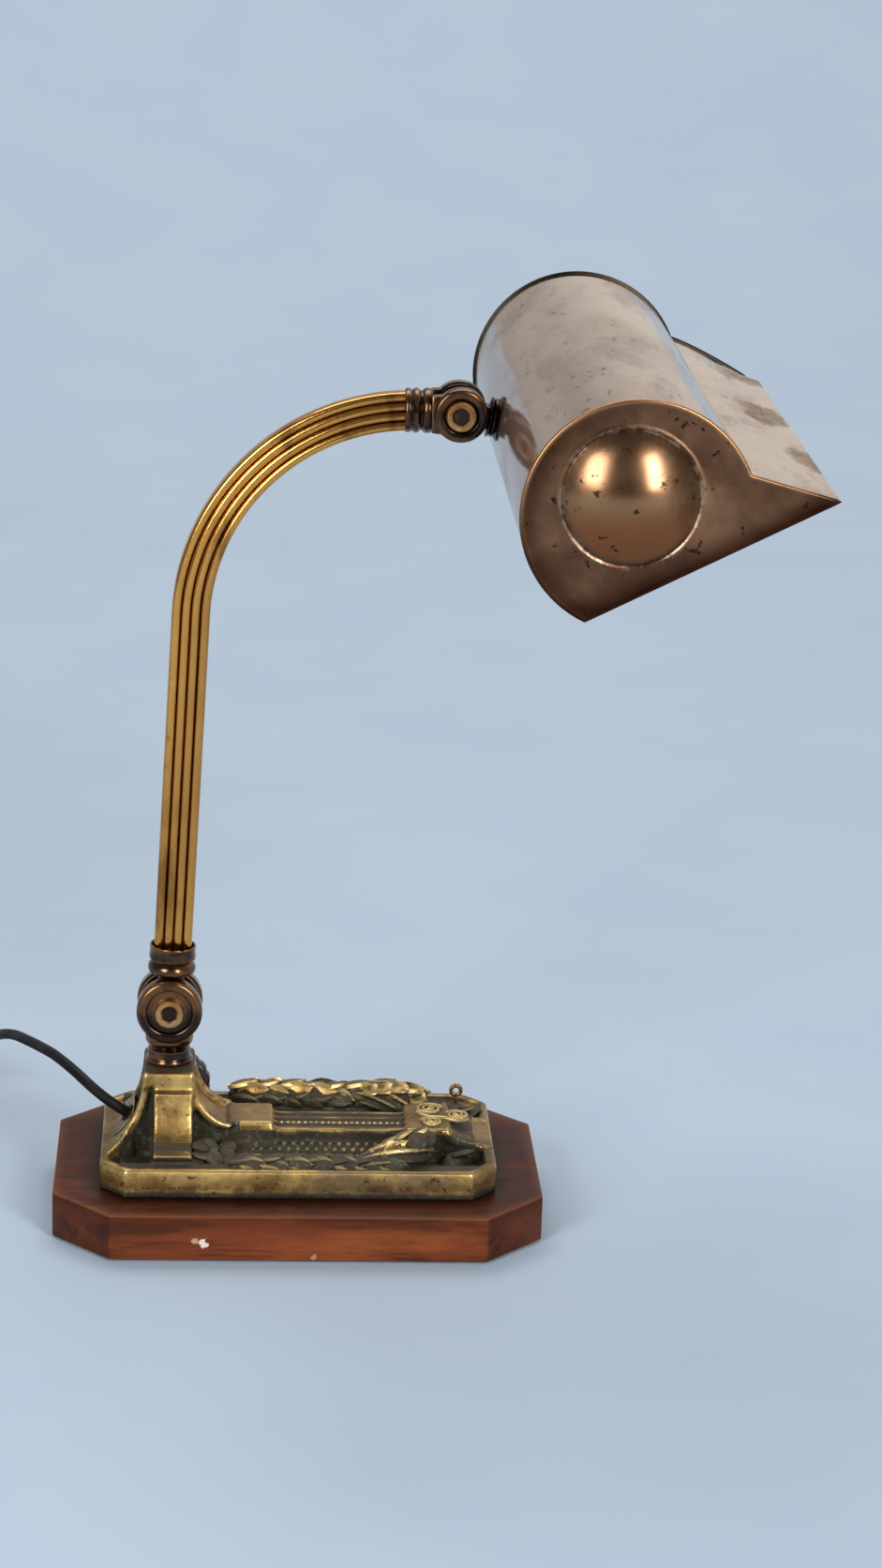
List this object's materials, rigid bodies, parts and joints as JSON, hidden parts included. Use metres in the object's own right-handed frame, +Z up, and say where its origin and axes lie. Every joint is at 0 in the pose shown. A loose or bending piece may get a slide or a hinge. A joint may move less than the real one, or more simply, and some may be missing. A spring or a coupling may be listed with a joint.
{
  "type": "bankers lamp",
  "caption": "Desk lamp with a long half-tube shade that tilts on a reeded swan arm, over a cast pen tray on a cut-corner wooden plinth, with a rear switch and a coiled cord.",
  "frame": {"origin": "middle of the underside of the felt, on the table", "axes": "+Z up, +X along the tray from the arm's foot towards the shade, +Y from the front to the rear"},
  "size_m": [0.4078, 0.282, 0.3519],
  "materials": {
    "felt": "matte felt",
    "mahogany": "satin varnish",
    "cast_brass": "aged cast brass",
    "screw_steel": "plain",
    "turned_brass": "turned",
    "dark_bronze": "glossy dark patina",
    "arm_brass": "polished reeds, dark grooves",
    "washer_fibre": "pressed fibre",
    "bakelite": "moulded",
    "plated_sheet": "worn plating over brass sheet",
    "cap_bronze": "bronze patina",
    "ceramic": "glazed",
    "nickel": "nickel",
    "bulb_glass": "clear",
    "cord_rubber": "satin black"
  },
  "bodies": {
    "base": {"felt_pad": "felt", "plinth": "mahogany", "base_casting": "cast_brass", "front_garland": "cast_brass", "rear_garland": "cast_brass", "screw_eye": "cast_brass", "base_screws": "screw_steel", "cord_bush": "bakelite", "base_flex": "cord_rubber", "switch_body": "bakelite", "switch_nut": "turned_brass", "lower_fork": "dark_bronze", "neck_washer": "screw_steel", "neck_nut": "turned_brass", "lower_pivot_bolt": "dark_bronze", "lower_pivot_nut": "turned_brass", "lower_friction_washers": "washer_fibre", "cord_lead": "cord_rubber", "cord_coil": "cord_rubber", "cord_tie": "cord_rubber", "cord_tail": "cord_rubber", "plug_body": "bakelite", "plug_pins": "nickel"},
    "switch": {"switch_knob": "bakelite"},
    "arm": {"lower_tongue": "dark_bronze", "arm_tube": "arm_brass", "arm_flex": "cord_rubber", "upper_fork": "dark_bronze", "upper_pivot_bolt": "dark_bronze", "upper_pivot_nut": "turned_brass", "upper_friction_washers": "washer_fibre"},
    "shade": {"shade_stem": "dark_bronze", "stem_rosette": "dark_bronze", "stem_nut": "turned_brass", "shade_shell": "plated_sheet", "near_end_cap": "cap_bronze", "far_end_cap": "cap_bronze", "holder_bracket": "turned_brass", "holder_nut": "turned_brass", "lampholder_cap": "bakelite", "lampholder_shell": "bakelite", "lampholder_core": "ceramic", "lampholder_thread": "turned_brass", "bulb_base": "nickel", "bulb_glass": "bulb_glass", "filament_mount": "nickel", "shade_flex": "cord_rubber"}
  },
  "joints": [
    {"name": "arm_tilt", "type": "hinge", "parent": "base", "child": "arm", "pos_m": [-0.051, 0, 0.083], "axis": [0, 1, 0], "range_deg": [-30, 40]},
    {"name": "shade_tilt", "type": "hinge", "parent": "arm", "child": "shade", "pos_m": [0.05507, 0, 0.32054], "axis": [0, 1, 0], "range_deg": [-50, 60]},
    {"name": "switch_turn", "type": "hinge", "parent": "base", "child": "switch", "pos_m": [-0.048, 0.017, 0.0425], "axis": [0, 1, 0], "range_deg": [0, 90]}
  ]
}
